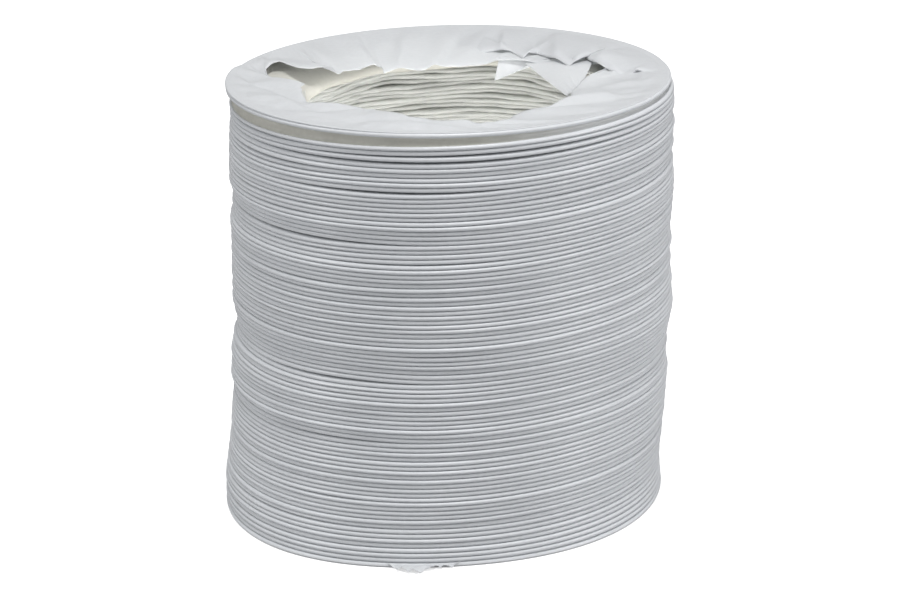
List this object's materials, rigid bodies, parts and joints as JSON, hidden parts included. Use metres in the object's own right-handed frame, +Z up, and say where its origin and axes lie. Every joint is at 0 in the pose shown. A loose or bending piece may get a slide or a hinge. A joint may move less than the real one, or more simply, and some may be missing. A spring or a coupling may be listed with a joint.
{
  "type": "film duct hose",
  "caption": "Flexible duct hose of thin white film over a spring-wire helix, pushed together into a short round stack, with a torn film collar folded over its mouth.",
  "frame": {"origin": "on the hose's axis, at the surface that the stack stands on", "axes": "+Z up along the hose's axis, -Y towards the side seen from the front, +X to its right"},
  "size_m": [0.1036, 0.1042, 0.103],
  "materials": {
    "film_wall": "satin white PVC film",
    "loose_film": "satin white PVC film, crumpled",
    "neck_film": "satin PVC film, seen as a warmer single layer",
    "spring_wire": "drawn spring steel"
  },
  "bodies": {
    "band_01": {"film_pleats_01": "film_wall", "wire_turns_01": "spring_wire", "bottom_film_end": "loose_film"},
    "band_02": {"film_pleats_02": "film_wall", "wire_turns_02": "spring_wire"},
    "band_03": {"film_pleats_03": "film_wall", "wire_turns_03": "spring_wire"},
    "band_04": {"film_pleats_04": "film_wall", "wire_turns_04": "spring_wire"},
    "band_05": {"film_pleats_05": "film_wall", "wire_turns_05": "spring_wire"},
    "band_06": {"film_pleats_06": "film_wall", "wire_turns_06": "spring_wire"},
    "band_07": {"film_pleats_07": "film_wall", "wire_turns_07": "spring_wire"},
    "band_08": {"film_pleats_08": "film_wall", "wire_turns_08": "spring_wire"},
    "band_09": {"film_pleats_09": "film_wall", "wire_turns_09": "spring_wire"},
    "band_10": {"film_pleats_10": "film_wall", "wire_turns_10": "spring_wire"},
    "band_11": {"film_pleats_11": "film_wall", "wire_turns_11": "spring_wire"},
    "band_12": {"film_pleats_12": "film_wall", "wire_turns_12": "spring_wire"},
    "band_13": {"film_pleats_13": "film_wall", "wire_turns_13": "spring_wire"},
    "band_14": {"film_pleats_14": "film_wall", "wire_turns_14": "spring_wire"},
    "band_15": {"film_pleats_15": "film_wall", "wire_turns_15": "spring_wire"},
    "band_16": {"film_pleats_16": "film_wall", "wire_turns_16": "spring_wire"},
    "band_17": {"film_pleats_17": "film_wall", "wire_turns_17": "spring_wire"},
    "band_18": {"film_pleats_18": "film_wall", "wire_turns_18": "spring_wire"},
    "band_19": {"film_pleats_19": "film_wall", "wire_turns_19": "spring_wire", "neck_film": "neck_film", "rim_wire": "spring_wire", "top_film_collar": "loose_film"}
  },
  "joints": [
    {"name": "stretch_01", "type": "slide", "parent": "band_01", "child": "band_02", "axis": [0, 0, 1], "range_m": [0, 0.24]},
    {"name": "bend_back_01", "type": "hinge", "parent": "band_02", "child": "band_03", "pos_m": [0, 0.056, 0.00879], "axis": [-1, 0, 0], "range_deg": [0, 30]},
    {"name": "stretch_02", "type": "slide", "parent": "band_03", "child": "band_04", "axis": [0, 0, 1], "range_m": [0, 0.24]},
    {"name": "stretch_03", "type": "slide", "parent": "band_04", "child": "band_05", "axis": [0, 0, 1], "range_m": [0, 0.24]},
    {"name": "bend_side_01", "type": "hinge", "parent": "band_05", "child": "band_06", "pos_m": [0.056, 0, 0.02506], "axis": [0, 1, 0], "range_deg": [0, 30]},
    {"name": "stretch_04", "type": "slide", "parent": "band_06", "child": "band_07", "axis": [0, 0, 1], "range_m": [0, 0.24]},
    {"name": "stretch_05", "type": "slide", "parent": "band_07", "child": "band_08", "axis": [0, 0, 1], "range_m": [0, 0.24]},
    {"name": "bend_back_02", "type": "hinge", "parent": "band_08", "child": "band_09", "pos_m": [0, 0.056, 0.04134], "axis": [-1, 0, 0], "range_deg": [0, 30]},
    {"name": "stretch_06", "type": "slide", "parent": "band_09", "child": "band_10", "axis": [0, 0, 1], "range_m": [0, 0.24]},
    {"name": "stretch_07", "type": "slide", "parent": "band_10", "child": "band_11", "axis": [0, 0, 1], "range_m": [0, 0.24]},
    {"name": "bend_side_02", "type": "hinge", "parent": "band_11", "child": "band_12", "pos_m": [0.056, 0, 0.05761], "axis": [0, 1, 0], "range_deg": [0, 30]},
    {"name": "stretch_08", "type": "slide", "parent": "band_12", "child": "band_13", "axis": [0, 0, 1], "range_m": [0, 0.24]},
    {"name": "stretch_09", "type": "slide", "parent": "band_13", "child": "band_14", "axis": [0, 0, 1], "range_m": [0, 0.24]},
    {"name": "bend_back_03", "type": "hinge", "parent": "band_14", "child": "band_15", "pos_m": [0, 0.056, 0.07389], "axis": [-1, 0, 0], "range_deg": [0, 30]},
    {"name": "stretch_10", "type": "slide", "parent": "band_15", "child": "band_16", "axis": [0, 0, 1], "range_m": [0, 0.24]},
    {"name": "stretch_11", "type": "slide", "parent": "band_16", "child": "band_17", "axis": [0, 0, 1], "range_m": [0, 0.24]},
    {"name": "bend_side_03", "type": "hinge", "parent": "band_17", "child": "band_18", "pos_m": [0.056, 0, 0.09016], "axis": [0, 1, 0], "range_deg": [0, 30]},
    {"name": "stretch_12", "type": "slide", "parent": "band_18", "child": "band_19", "axis": [0, 0, 1], "range_m": [0, 0.24]}
  ],
  "couplings": [
    {"joint": "stretch_02", "follows": "stretch_01", "ratio": 1},
    {"joint": "stretch_03", "follows": "stretch_01", "ratio": 1},
    {"joint": "stretch_04", "follows": "stretch_01", "ratio": 1},
    {"joint": "stretch_05", "follows": "stretch_01", "ratio": 1},
    {"joint": "stretch_06", "follows": "stretch_01", "ratio": 1},
    {"joint": "stretch_07", "follows": "stretch_01", "ratio": 1},
    {"joint": "stretch_08", "follows": "stretch_01", "ratio": 1},
    {"joint": "stretch_09", "follows": "stretch_01", "ratio": 1},
    {"joint": "stretch_10", "follows": "stretch_01", "ratio": 1},
    {"joint": "stretch_11", "follows": "stretch_01", "ratio": 1},
    {"joint": "stretch_12", "follows": "stretch_01", "ratio": 1},
    {"joint": "bend_back_02", "follows": "bend_back_01", "ratio": 1},
    {"joint": "bend_back_03", "follows": "bend_back_01", "ratio": 1},
    {"joint": "bend_side_02", "follows": "bend_side_01", "ratio": 1},
    {"joint": "bend_side_03", "follows": "bend_side_01", "ratio": 1}
  ]
}
